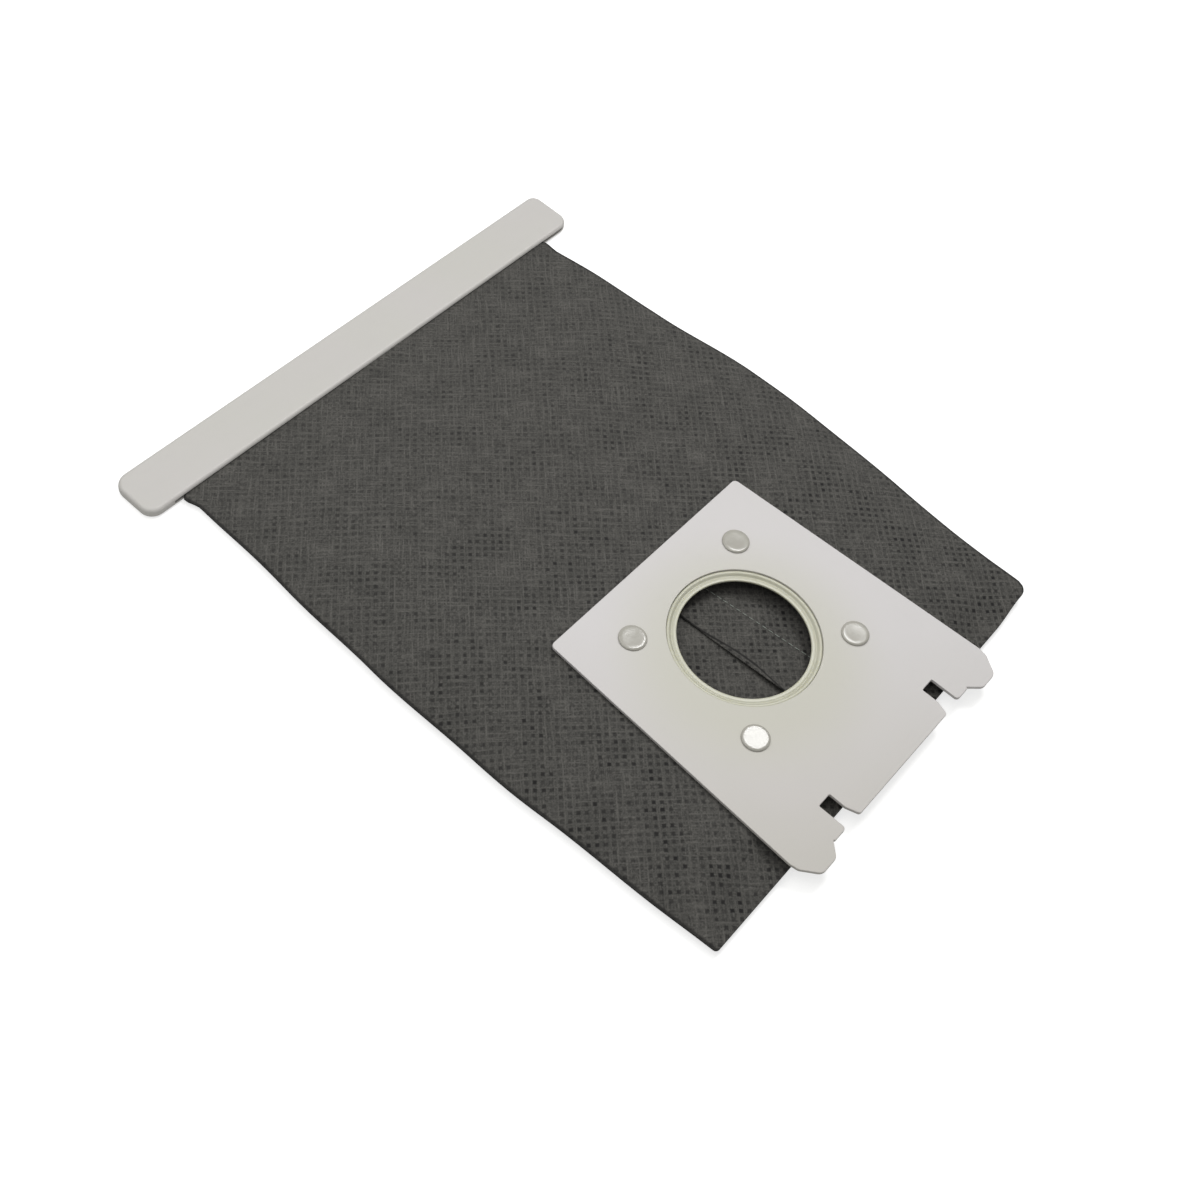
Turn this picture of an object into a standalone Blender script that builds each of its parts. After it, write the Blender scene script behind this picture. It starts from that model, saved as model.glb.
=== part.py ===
"""A washable filter bag for a vacuum cleaner, lying on its back.

Sizes are in metres, +Z is up. X runs across the bag, and +Y runs from the collar
to the closing clip. The origin is under the middle of the whole part, on the plane
that it lies on.
"""

import math

import bmesh
import bpy
from mathutils import Matrix, Vector

# Running gap between neighbouring pieces
GAP = 0.0003

# Collar plate: a flat moulding, narrower at its rear, with hooks at its front
COLLAR_THICKNESS = 0.0016
COLLAR_REAR = 0.0490
COLLAR_REAR_WIDTH = 0.1115
COLLAR_SHOULDER_WIDTH = 0.1236
COLLAR_SHOULDER = 0.0680
COLLAR_CORNER_RADIUS = 0.0020
COLLAR_EDGE_ROUND = 0.0003
COLLAR_SHOULDER_INSET = 0.0006
COLLAR_SHOULDER_RADIUS = 0.0030

# Front edge of the collar: a middle tongue between two notches, and a hook beyond each
TONGUE_REACH = 0.0750
TONGUE_CHAMFER_WIDTH = 0.0018
TONGUE_CHAMFER_LENGTH = 0.0054
TONGUE_CORNER_RADIUS = 0.0012
NOTCH_INNER = 0.0302
NOTCH_WIDTH = 0.0064
NOTCH_ROOT = 0.0624
NOTCH_CORNER_RADIUS = 0.0005
HOOK_STEP_REACH = 0.0746
HOOK_STEP_WIDTH = 0.0064
HOOK_STEP_RADIUS = 0.0016
HOOK_NICK = 0.0006
HOOK_NICK_OUTER_RADIUS = 0.0006
HOOK_NICK_INNER_RADIUS = 0.0003
HOOK_TIP_REACH = 0.0788
HOOK_TIP = 0.0523
HOOK_TIP_HALF_WIDTH = 0.0040
HOOK_TIP_INNER_RADIUS = 0.0028
HOOK_TIP_OUTER_RADIUS = 0.0032
HOOK_SHOULDER_DROP = 0.0037

# Inlet, and the soft sealing ring clamped between the collar and the backing plate
INLET_DIAMETER = 0.0520
SEAL_FACE_WIDTH = 0.0042
SEAL_FLANGE_OVERLAP = 0.0028
SEAL_LIP_WIDTH = 0.0016
SEAL_LIP_RISE = 0.0004
SEAL_GROOVE_WIDTH = 0.0012
SEAL_BAND_RISE = 0.0012

# Backing plate inside the bag, with four studs staked over the collar
BACKING_WIDTH = 0.0840
BACKING_LENGTH = 0.0800
BACKING_THICKNESS = 0.0010
BACKING_CORNER_RADIUS = 0.0080
BACKING_HOLE_SETBACK = 0.0017
STUD_SPACING_X = 0.0632
STUD_SPACING_Y = 0.0590
STUD_DIAMETER = 0.0060
STAKE_HEAD_DIAMETER = 0.0110
STAKE_HEAD_HEIGHT = 0.0006
STAKE_HEAD_DISH = 0.0003

# Bag: one sheet of cloth folded into a flat tube, with a lapped seam down its back
CLOTH = 0.0005
BAG_END_HALF_WIDTH = 0.1025
BAG_SIDE_BOW = 0.0046
BAG_FRONT = 0.0676
BAG_CLEAR_HEIGHT = 0.0052
BAG_FOLD_HEIGHT = 0.0032
BAG_FLAT_HALF_WIDTH = 0.0600
BAG_CROWN_RISE = 0.0004
BAG_FULLNESS = 0.8
BAG_CAVITY_INSET = 0.0018
END_SEAM_WIDTH = 0.0060
FRONT_SLOPE_LENGTH = 0.0150
NECK_SLOPE_LENGTH = 0.0700
UNDERSIDE_CURL = 0.0140
UNDERSIDE_NECK_CURL = 0.0280
BACK_LAP_EDGE = -0.0040
BACK_LAP_WIDTH = 0.0200
BACK_LAP_NECK_CLEARANCE = 0.0230

# Hem: the mouth of the bag, folded over on itself to a bead that the clip holds
HEM_NECK_THICKNESS = 0.0010
HEM_BEAD_THICKNESS = 0.0020
HEM_BEAD_LENGTH = 0.0120
HEM_NECK_RUN = 0.0030

# Closing clip: a C-shaped rail that slides over the hem, with one end closed
CLIP_NEAR = 0.1948
CLIP_WIDTH = 0.0224
CLIP_LENGTH = 0.2396
CLIP_HEIGHT = 0.0046
CLIP_WALL = 0.0010
CLIP_LIP_DEPTH = 0.0026
CLIP_SLOT = 0.0016
CLIP_EDGE_RADIUS = 0.0014
CLIP_CHANNEL_RADIUS = 0.0005
CLIP_END_RADIUS = 0.0050
CLIP_END_WALL = 0.0120

# Numbers of segments
INLET_SEGMENTS = 64
STUD_SEGMENTS = 24
DISH_RINGS = 2
CORNER_SEGMENTS = 5
BAG_COLUMNS = 22
CAVITY_COLUMNS = 16

# Shading and meshing limits
WELD = 0.00001
SHARP_ANGLE = math.radians(35)
STRAIGHT_ANGLE = math.radians(170)

# Heights that follow, counted from the plane that the bag lies on
BACK_LAP_TOP = 2 * CLOTH
BACKING_BOTTOM = CLOTH + BAG_CLEAR_HEIGHT
PLY_BOTTOM = BACKING_BOTTOM + BACKING_THICKNESS + GAP
PLY_TOP = PLY_BOTTOM + CLOTH
COLLAR_BOTTOM = PLY_TOP + GAP
COLLAR_TOP = COLLAR_BOTTOM + COLLAR_THICKNESS
CLIP_MIDDLE = CLIP_HEIGHT / 2

# Lengths that follow, counted from the inlet's axis, and the inlet's own place
CLIP_FAR = CLIP_NEAR + CLIP_WIDTH
HEM_BEAD_START = CLIP_NEAR + CLIP_LIP_DEPTH + GAP
HEM_END = HEM_BEAD_START + HEM_BEAD_LENGTH
NECK_START = CLIP_NEAR - HEM_NECK_RUN
INLET_Y = (HOOK_TIP_REACH - CLIP_FAR) / 2
INLET_RADIUS = INLET_DIAMETER / 2
COLLAR_OPENING_RADIUS = INLET_RADIUS + SEAL_FACE_WIDTH
SEAL_RADIUS = COLLAR_OPENING_RADIUS + SEAL_FLANGE_OVERLAP
FOLD_THICKNESS = 2 * CLOTH

COLLECTION = "vacuum_filter_bag"
CUTTERS = "cutters"


def clear_scene():
    for item in list(bpy.data.objects):
        bpy.data.objects.remove(item, do_unlink=True)


def new_collection(name):
    made = bpy.data.collections.new(name)
    bpy.context.scene.collection.children.link(made)
    return made


def plastic(name, colour, roughness):
    """A Principled material of one colour."""
    material = bpy.data.materials.new(name)
    material.use_nodes = True
    shader = material.node_tree.nodes["Principled BSDF"]
    shader.inputs["Base Color"].default_value = (*colour, 1.0)
    shader.inputs["Roughness"].default_value = roughness
    shader.inputs["Metallic"].default_value = 0.0
    return material


def place(item, group):
    """Moves an object into one of the part's collections."""
    for other in list(item.users_collection):
        other.objects.unlink(item)
    bpy.data.collections[group].objects.link(item)


def mesh_object(name, bm, group=COLLECTION):
    """Closes a bmesh into a named object."""
    bmesh.ops.recalc_face_normals(bm, faces=bm.faces[:])
    mesh = bpy.data.meshes.new(name)
    bm.to_mesh(mesh)
    bm.free()
    item = bpy.data.objects.new(name, mesh)
    bpy.data.collections[group].objects.link(item)
    return item


def as_cutter(item):
    item.hide_render = True
    item.display_type = "WIRE"
    place(item, CUTTERS)
    return item


def smooth_round_faces(item):
    item.data.shade_smooth()
    item.data.set_sharp_from_angle(angle=SHARP_ANGLE)


def boolean(item, other, operation):
    """Adds an exact Boolean, with the second shape kept out of sight."""
    as_cutter(other)
    cut = item.modifiers.new(f"{operation.lower()}_{other.name}", "BOOLEAN")
    cut.operation = operation
    cut.solver = "EXACT"
    cut.object = other


def bevel_edges(item, width):
    edge = item.modifiers.new("edge_round", "BEVEL")
    edge.width = width
    edge.segments = 1
    edge.limit_method = "ANGLE"
    edge.angle_limit = SHARP_ANGLE


def circle(radius, segments, centre=(0.0, 0.0)):
    """Points round a circle."""
    return [
        (
            centre[0] + radius * math.cos(math.tau * k / segments),
            centre[1] + radius * math.sin(math.tau * k / segments),
        )
        for k in range(segments)
    ]


def rounded_outline(corners):
    """Turns corners (x, y, radius) into points, with an arc at each radius."""
    points = []
    for k, (x, y, radius) in enumerate(corners):
        corner = Vector((x, y))
        before = (Vector(corners[k - 1][:2]) - corner).normalized()
        after = (Vector(corners[(k + 1) % len(corners)][:2]) - corner).normalized()
        half = before.angle(after) / 2
        if radius <= 0 or 2 * half > STRAIGHT_ANGLE:
            points.append((x, y))
            continue
        bisector = (before + after).normalized()
        centre = corner + bisector * (radius / math.sin(half))
        first = corner + before * (radius / math.tan(half)) - centre
        last = corner + after * (radius / math.tan(half)) - centre
        turn = first.angle_signed(last)
        for step in range(CORNER_SEGMENTS + 1):
            arm = first.copy()
            arm.rotate(Matrix.Rotation(-turn * step / CORNER_SEGMENTS, 2))
            points.append(tuple(centre + arm))
    return points


def flat_shape(name, outline, holes, bottom, top):
    """A plate from a filled 2D curve with holes, as a welded mesh."""
    curve = bpy.data.curves.new(name + "_curve", "CURVE")
    curve.dimensions = "2D"
    curve.fill_mode = "BOTH"
    curve.extrude = (top - bottom) / 2
    for loop in [outline, *holes]:
        spline = curve.splines.new("POLY")
        spline.points.add(len(loop) - 1)
        for point, (x, y) in zip(spline.points, loop):
            point.co = (x, y, 0.0, 1.0)
        spline.use_cyclic_u = True
    guide = bpy.data.objects.new(name + "_curve", curve)
    bpy.context.scene.collection.objects.link(guide)
    bpy.context.view_layer.update()
    graph = bpy.context.evaluated_depsgraph_get()
    mesh = bpy.data.meshes.new_from_object(guide.evaluated_get(graph))
    bpy.data.objects.remove(guide, do_unlink=True)
    bm = bmesh.new()
    bm.from_mesh(mesh)
    bpy.data.meshes.remove(mesh)
    bmesh.ops.remove_doubles(bm, verts=bm.verts[:], dist=WELD)
    bmesh.ops.translate(bm, verts=bm.verts[:], vec=(0.0, 0.0, (top + bottom) / 2))
    return mesh_object(name, bm)


def turned_shape(name, profile, centre, steps):
    """A body turned about a vertical axis from (radius, height) points."""
    bm = bmesh.new()
    verts = [bm.verts.new((radius, 0.0, height)) for radius, height in profile]
    for first, second in zip(verts, verts[1:]):
        bm.edges.new((first, second))
    if profile[0][0] > 0:
        bm.edges.new((verts[-1], verts[0]))
    mesh = bpy.data.meshes.new(name)
    bm.to_mesh(mesh)
    bm.free()
    item = bpy.data.objects.new(name, mesh)
    bpy.data.collections[COLLECTION].objects.link(item)
    item.location = (*centre, 0.0)
    turn = item.modifiers.new("turn", "SCREW")
    turn.steps = steps
    turn.render_steps = steps
    turn.use_merge_vertices = True
    turn.merge_threshold = WELD
    turn.use_smooth_shade = True
    return item


def cylinder(name, radius, bottom, top, centre, steps):
    """An upright cylinder."""
    bm = bmesh.new()
    bmesh.ops.create_cone(
        bm,
        cap_ends=True,
        segments=steps,
        radius1=radius,
        radius2=radius,
        depth=top - bottom,
    )
    bmesh.ops.translate(bm, verts=bm.verts[:], vec=(*centre, (top + bottom) / 2))
    return mesh_object(name, bm)


def stud_centres():
    return [
        (side * STUD_SPACING_X / 2, INLET_Y + end * STUD_SPACING_Y / 2)
        for side in (-1, 1)
        for end in (-1, 1)
    ]


def collar_outline():
    """The collar's edge, from the middle of its front round one half, then mirrored."""
    notch_outer = NOTCH_INNER + NOTCH_WIDTH
    nick_start = notch_outer + HOOK_STEP_WIDTH
    shoulder = COLLAR_SHOULDER_WIDTH / 2
    hook_shoulder = -COLLAR_SHOULDER - HOOK_SHOULDER_DROP
    half = [
        (NOTCH_INNER - TONGUE_CHAMFER_WIDTH, -TONGUE_REACH, TONGUE_CORNER_RADIUS),
        (NOTCH_INNER, -TONGUE_REACH + TONGUE_CHAMFER_LENGTH, 0.0),
        (NOTCH_INNER, -NOTCH_ROOT, NOTCH_CORNER_RADIUS),
        (notch_outer, -NOTCH_ROOT, NOTCH_CORNER_RADIUS),
        (notch_outer, -HOOK_STEP_REACH, HOOK_STEP_RADIUS),
        (nick_start, -HOOK_STEP_REACH, HOOK_NICK_OUTER_RADIUS),
        (nick_start + HOOK_NICK, HOOK_NICK - HOOK_STEP_REACH, HOOK_NICK_INNER_RADIUS),
        (HOOK_TIP - HOOK_TIP_HALF_WIDTH, -HOOK_TIP_REACH, HOOK_TIP_INNER_RADIUS),
        (HOOK_TIP + HOOK_TIP_HALF_WIDTH, -HOOK_TIP_REACH, HOOK_TIP_OUTER_RADIUS),
        (shoulder - COLLAR_SHOULDER_INSET, hook_shoulder, COLLAR_SHOULDER_RADIUS),
        (shoulder, -COLLAR_SHOULDER, 0.0),
        (COLLAR_REAR_WIDTH / 2, COLLAR_REAR, COLLAR_CORNER_RADIUS),
    ]
    mirrored = [(-x, y, radius) for x, y, radius in reversed(half)]
    return [(x, y + INLET_Y) for x, y in rounded_outline(half + mirrored)]


def make_collar_plate():
    holes = [circle(COLLAR_OPENING_RADIUS, INLET_SEGMENTS, (0.0, INLET_Y))]
    holes += [
        circle(STUD_DIAMETER / 2 + GAP, STUD_SEGMENTS, centre)
        for centre in stud_centres()
    ]
    plate = flat_shape("collar_plate", collar_outline(), holes, COLLAR_BOTTOM, COLLAR_TOP)
    bevel_edges(plate, COLLAR_EDGE_ROUND)
    smooth_round_faces(plate)
    plate.data.materials.append(plastic("collar_plastic", (0.62, 0.60, 0.57), 0.45))
    return plate


def make_inlet_seal():
    """A soft ring: a lip and a band inside the collar's opening, and a clamped flange."""
    lip_top = PLY_TOP + SEAL_LIP_RISE
    band_top = PLY_TOP + SEAL_BAND_RISE
    lip = INLET_RADIUS + SEAL_LIP_WIDTH
    band = COLLAR_OPENING_RADIUS - GAP
    round_off = SEAL_LIP_RISE / 2
    profile = [
        (INLET_RADIUS, PLY_BOTTOM),
        (INLET_RADIUS, lip_top - round_off),
        (INLET_RADIUS + round_off, lip_top),
        (lip, lip_top),
        (lip + SEAL_GROOVE_WIDTH / 2, PLY_TOP),
        (lip + SEAL_GROOVE_WIDTH, band_top),
        (band - round_off, band_top),
        (band, band_top - round_off),
        (band, PLY_TOP),
        (SEAL_RADIUS, PLY_TOP),
        (SEAL_RADIUS, PLY_BOTTOM),
    ]
    seal = turned_shape("inlet_seal", profile, (0.0, INLET_Y), INLET_SEGMENTS)
    seal.data.materials.append(plastic("seal_rubber", (0.60, 0.61, 0.54), 0.35))
    return seal


def make_backing_plate():
    """The plate inside the bag, and its studs with their spread, dished heads."""
    x, y = BACKING_WIDTH / 2, BACKING_LENGTH / 2
    corners = [
        (side, end + INLET_Y, BACKING_CORNER_RADIUS)
        for side, end in ((x, -y), (x, y), (-x, y), (-x, -y))
    ]
    hole = circle(INLET_RADIUS + BACKING_HOLE_SETBACK, INLET_SEGMENTS, (0.0, INLET_Y))
    plate_top = BACKING_BOTTOM + BACKING_THICKNESS
    plate = flat_shape(
        "backing_plate", rounded_outline(corners), [hole], BACKING_BOTTOM, plate_top
    )
    head_bottom = COLLAR_TOP + GAP
    head_top = head_bottom + STAKE_HEAD_HEIGHT
    head_radius = STAKE_HEAD_DIAMETER / 2
    rim = STAKE_HEAD_HEIGHT / 2
    dish_radius = head_radius - 2 * rim
    shares = [ring / DISH_RINGS for ring in range(DISH_RINGS + 1)]
    profile = [
        *((dish_radius * k, head_top - STAKE_HEAD_DISH * (1 - k * k)) for k in shares),
        (head_radius - rim, head_top),
        (head_radius, head_top - rim),
        (head_radius, head_bottom),
        (STUD_DIAMETER / 2, head_bottom),
        (STUD_DIAMETER / 2, plate_top - BACKING_THICKNESS / 2),
        (0.0, plate_top - BACKING_THICKNESS / 2),
    ]
    for number, centre in enumerate(stud_centres(), start=1):
        stud = turned_shape(f"stud_{number}", profile, centre, STUD_SEGMENTS)
        boolean(plate, stud, "UNION")
    smooth_round_faces(plate)
    plate.data.materials.append(plastic("backing_plastic", (0.64, 0.63, 0.60), 0.30))
    return plate


def eased(value):
    """0 below 0, 1 above 1, and a smooth step between."""
    value = min(max(value, 0.0), 1.0)
    return value * value * (3 - 2 * value)


def half_width(y):
    """Half the bag's width: bowed between its closed end and the clip."""
    share = (y + BAG_FRONT) / (NECK_START + BAG_FRONT)
    bow = math.sin(math.pi * min(max(share, 0.0), 1.0))
    return BAG_END_HALF_WIDTH + BAG_SIDE_BOW * bow


def hem_thickness(y):
    """How thick the folded mouth is along the clip."""
    return HEM_NECK_THICKNESS if y < HEM_BEAD_START else HEM_BEAD_THICKNESS


def front_opening(y):
    """0 at the bag's sewn end and 1 where it has opened to its full height."""
    return eased((y + BAG_FRONT - END_SEAM_WIDTH) / FRONT_SLOPE_LENGTH)


def neck_opening(y):
    """0 at the clip and 1 where the bag has opened to its full height."""
    return eased((NECK_START - y) / NECK_SLOPE_LENGTH)


def fold_height(y):
    """Middle height of the side folds, which meets the clip's slot at the neck."""
    return CLIP_MIDDLE + (BAG_FOLD_HEIGHT - CLIP_MIDDLE) * neck_opening(y)


def top_height(x, y):
    """Outer height of the upper ply."""
    if y >= NECK_START:
        return CLIP_MIDDLE + hem_thickness(y) / 2
    edge = fold_height(y) + FOLD_THICKNESS / 2
    middle = eased((y - COLLAR_REAR) / NECK_SLOPE_LENGTH)
    crown = PLY_TOP + BAG_CROWN_RISE * middle
    outside = (abs(x) - BAG_FLAT_HALF_WIDTH) / (half_width(y) - BAG_FLAT_HALF_WIDTH)
    swell = (1 - min(max(outside, 0.0), 1.0) ** 2) ** BAG_FULLNESS
    return edge + (crown - edge) * swell * front_opening(y) * neck_opening(y)


def bottom_height(x, y):
    """Outer height of the lower ply: flat on the table, curling up to the folds."""
    if y >= NECK_START:
        return CLIP_MIDDLE - hem_thickness(y) / 2
    edge = fold_height(y) - FOLD_THICKNESS / 2
    side = 1 - (half_width(y) - abs(x)) / UNDERSIDE_CURL
    front = 1 - (y + BAG_FRONT - END_SEAM_WIDTH) / UNDERSIDE_CURL
    rear = 1 - (NECK_START - y) / UNDERSIDE_NECK_CURL
    curl = max(side, front, rear, 0.0)
    return edge * min(curl, 1.0) ** 2


def two_ply_slab(name, stations, columns, half, top, bottom, skew=0.0):
    """A closed slab: a grid given two sides, each moved to its own height."""
    bm = bmesh.new()
    bmesh.ops.create_grid(
        bm, x_segments=columns, y_segments=len(stations) - 1, size=1.0
    )
    for vert in bm.verts:
        vert.co.z = -1.0
    lifted = bmesh.ops.extrude_face_region(bm, geom=bm.faces[:])
    for item in lifted["geom"]:
        if isinstance(item, bmesh.types.BMVert):
            item.co.z = 1.0
    rows = len(stations) - 1
    for vert in bm.verts:
        y = stations[round((vert.co.y + 1) / 2 * rows)]
        across = math.sin(math.pi / 2 * vert.co.x)
        x = skew + half(y) * across
        height = top if vert.co.z > 0 else bottom
        vert.co = (x, y + INLET_Y, height(x, y))
    return mesh_object(name, bm)


def spread(first, last, count):
    """Evenly spaced values from first up to but not including last."""
    return [first + (last - first) * k / count for k in range(count)]


def bag_stations():
    """Where the bag's cross sections lie, closer together where its height changes."""
    slope_end = -BAG_FRONT + END_SEAM_WIDTH + FRONT_SLOPE_LENGTH
    neck_slope = NECK_START - NECK_SLOPE_LENGTH
    step = GAP / 2
    return [
        *spread(-BAG_FRONT, -BAG_FRONT + END_SEAM_WIDTH, 2),
        *spread(-BAG_FRONT + END_SEAM_WIDTH, slope_end, 4),
        *spread(slope_end, COLLAR_REAR, 3),
        *spread(COLLAR_REAR, neck_slope, 4),
        *spread(neck_slope, NECK_START, 8),
        NECK_START,
        HEM_BEAD_START - step,
        HEM_BEAD_START,
        HEM_END,
    ]


def make_bag():
    bag = two_ply_slab(
        "filter_bag", bag_stations(), BAG_COLUMNS, half_width, top_height, bottom_height
    )

    def cavity_half(y):
        return half_width(y) - BAG_CAVITY_INSET

    def cavity_top(x, y):
        return max(top_height(x, y) - CLOTH, fold_height(y) + GAP / 2)

    def cavity_bottom(x, y):
        return min(bottom_height(x, y) + CLOTH, fold_height(y) - GAP / 2)

    cavity_start = -BAG_FRONT + END_SEAM_WIDTH
    cavity_stations = [
        y for y in bag_stations() if cavity_start < y < NECK_START - BAG_CAVITY_INSET
    ]
    cavity = two_ply_slab(
        "cavity", cavity_stations, CAVITY_COLUMNS, cavity_half, cavity_top, cavity_bottom
    )
    boolean(bag, cavity, "DIFFERENCE")

    def lap_half(_):
        return BACK_LAP_WIDTH / 2

    def lap_top(x, y):
        return bottom_height(x, y) + BACK_LAP_TOP

    def lap_bottom(x, y):
        return bottom_height(x, y) + CLOTH / 2

    lap_middle = BACK_LAP_EDGE + BACK_LAP_WIDTH / 2
    lap_end = NECK_START - BACK_LAP_NECK_CLEARANCE
    lap_stations = [y for y in cavity_stations if y < lap_end]
    lap = two_ply_slab(
        "back_lap", lap_stations, 2, lap_half, lap_top, lap_bottom, lap_middle
    )
    boolean(bag, lap, "UNION")

    inlet = cylinder(
        "inlet_cutter",
        SEAL_RADIUS + GAP,
        PLY_BOTTOM - GAP,
        COLLAR_TOP,
        (0.0, INLET_Y),
        INLET_SEGMENTS,
    )
    boolean(bag, inlet, "DIFFERENCE")
    for number, centre in enumerate(stud_centres(), start=1):
        hole = cylinder(
            f"stud_cutter_{number}",
            STUD_DIAMETER / 2 + GAP,
            PLY_BOTTOM - GAP,
            COLLAR_TOP,
            centre,
            STUD_SEGMENTS,
        )
        boolean(bag, hole, "DIFFERENCE")
    bag.data.materials.append(plastic("bag_cloth", (0.075, 0.075, 0.070), 0.9))
    smooth_round_faces(bag)
    return bag


def clip_profile(hollow):
    """The rail's section, C-shaped or solid, as (y, z) corners with radii."""
    near, far = CLIP_NEAR + INLET_Y, CLIP_FAR + INLET_Y
    lip = near + CLIP_LIP_DEPTH
    inner = far - CLIP_WALL
    slot = CLIP_SLOT / 2
    channel = CLIP_HEIGHT / 2 - CLIP_WALL
    half = [
        (near, slot, 0.0),
        (near, CLIP_HEIGHT / 2, CLIP_EDGE_RADIUS),
        (far, CLIP_HEIGHT / 2, CLIP_EDGE_RADIUS),
    ]
    outside = half + [(y, -z, radius) for y, z, radius in reversed(half)]
    if not hollow:
        return rounded_outline(outside)
    inside = [(inner, channel, CLIP_CHANNEL_RADIUS), (lip, channel, 0.0), (lip, slot, 0.0)]
    lower_inside = [(y, -z, radius) for y, z, radius in reversed(inside)]
    return rounded_outline(outside + lower_inside + inside)


def rail_shape(name, hollow, start, end):
    """A length of the rail, drawn along X."""
    shape = flat_shape(name, clip_profile(hollow), [], start, end)
    for vert in shape.data.vertices:
        y, z, x = vert.co
        vert.co = (x, y, z + CLIP_MIDDLE)
    return shape


def make_closure_clip():
    """The rail with its closed end, and its four plan corners rounded off."""
    half = CLIP_LENGTH / 2
    clip = rail_shape("closure_clip", True, -half, half)
    boolean(clip, rail_shape("end_wall", False, -half, CLIP_END_WALL - half), "UNION")
    middle = INLET_Y + (CLIP_NEAR + CLIP_FAR) / 2
    width = CLIP_WIDTH / 2 + GAP / 2
    corners = [
        (side, middle + end, CLIP_END_RADIUS)
        for side, end in ((half, -width), (half, width), (-half, width), (-half, -width))
    ]
    plan = flat_shape("clip_plan", rounded_outline(corners), [], -GAP, CLIP_HEIGHT + GAP)
    boolean(clip, plan, "INTERSECT")
    smooth_round_faces(clip)
    clip.data.materials.append(plastic("clip_plastic", (0.62, 0.61, 0.58), 0.42))
    return clip


def main():
    clear_scene()
    new_collection(COLLECTION)
    new_collection(CUTTERS)
    make_collar_plate()
    make_inlet_seal()
    make_backing_plate()
    make_bag()
    make_closure_clip()


main()
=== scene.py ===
"""Dresses a washable vacuum cleaner bag for its picture.

Lengths are in metres in the CAD model's frame: X across the bag, Y from the collar
to the closing rail and Z up. Lengths along Y are counted from the inlet's axis.
"""

import math

import bmesh
import bpy
from mathutils import Matrix, Vector, noise


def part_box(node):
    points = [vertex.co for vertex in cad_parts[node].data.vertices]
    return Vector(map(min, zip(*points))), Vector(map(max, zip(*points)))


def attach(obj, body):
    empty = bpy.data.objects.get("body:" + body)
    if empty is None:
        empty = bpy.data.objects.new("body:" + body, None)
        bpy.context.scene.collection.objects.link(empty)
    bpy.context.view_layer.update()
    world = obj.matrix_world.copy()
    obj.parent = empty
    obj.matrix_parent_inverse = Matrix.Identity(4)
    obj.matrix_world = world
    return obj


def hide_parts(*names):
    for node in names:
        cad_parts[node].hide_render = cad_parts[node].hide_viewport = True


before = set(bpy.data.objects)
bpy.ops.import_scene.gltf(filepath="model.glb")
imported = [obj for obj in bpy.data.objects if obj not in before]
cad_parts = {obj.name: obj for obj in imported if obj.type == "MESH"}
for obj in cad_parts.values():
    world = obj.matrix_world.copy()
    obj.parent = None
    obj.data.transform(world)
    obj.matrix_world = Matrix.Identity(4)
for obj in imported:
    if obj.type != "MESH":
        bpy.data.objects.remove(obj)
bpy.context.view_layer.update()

# Heights and places that the CAD nodes give
SEAL_LOW, SEAL_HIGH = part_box("inlet_seal")
COLLAR_LOW, COLLAR_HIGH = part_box("collar_plate")
BACKING_LOW, BACKING_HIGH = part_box("backing_plate")
CLIP_LOW, CLIP_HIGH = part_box("closure_clip")
INLET_Y = (SEAL_LOW[1] + SEAL_HIGH[1]) / 2
COLLAR_BOTTOM, COLLAR_TOP = COLLAR_LOW[2], COLLAR_HIGH[2]
CLIP_NEAR, CLIP_FAR = CLIP_LOW[1] - INLET_Y, CLIP_HIGH[1] - INLET_Y
CLIP_HEIGHT = CLIP_HIGH[2]
CLIP_MIDDLE = CLIP_HEIGHT / 2
GAP = 0.0003

# Collar plate: corners of one half (x, y, radius), from the tongue to the rear edge
COLLAR_HALF = [
    (0.0284, -0.0750, 0.0012),
    (0.0302, -0.0696, 0.0),
    (0.0302, -0.0624, 0.0005),
    (0.0366, -0.0624, 0.0005),
    (0.0366, -0.0746, 0.0016),
    (0.0430, -0.0746, 0.0006),
    (0.0436, -0.0740, 0.0003),
    (0.0483, -0.0788, 0.0028),
    (0.0563, -0.0788, 0.0032),
    (0.0612, -0.0717, 0.0030),
    (0.0618, -0.0680, 0.0),
    (0.05575, 0.0490, 0.0020),
]
COLLAR_SIDE = 0.0600
COLLAR_REAR = 0.0490
COLLAR_EDGE_ROUND = 0.00028
OPENING_RADIUS = 0.0302
INLET_RADIUS = 0.0260
SEAL_RADIUS = 0.0330
STUD_X, STUD_Y = 0.0316, 0.0295
STUD_RADIUS = 0.0030
HEAD_RADIUS = 0.0055
DISH_RADIUS, DISH_DEPTH = 0.0037, 0.00004
BACKING_WIDTH, BACKING_LENGTH, BACKING_CORNER = 0.0840, 0.0800, 0.0080
BACKING_THICKNESS = 0.0010
BACKING_EDGE_ROUND = 0.0002
BACKING_HOLE = 0.0277
ROUND_STEPS, HEAD_STEPS, SMALL_HOLE_STEPS, RING_STEPS = 128, 48, 32, 160

# Closing rail: corner radii from the near right corner round to the near left one
RAIL_CORNERS = (0.0058, 0.0042, 0.0065, 0.0058)
RAIL_EDGE_ROUND = 0.0016
RAIL_CLOSED_END = 0.0120
RAIL_LIP, RAIL_BACK = 0.0026, 0.0010
RAIL_CHANNEL = 0.0026
RAIL_SLOT = 0.0016

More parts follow.
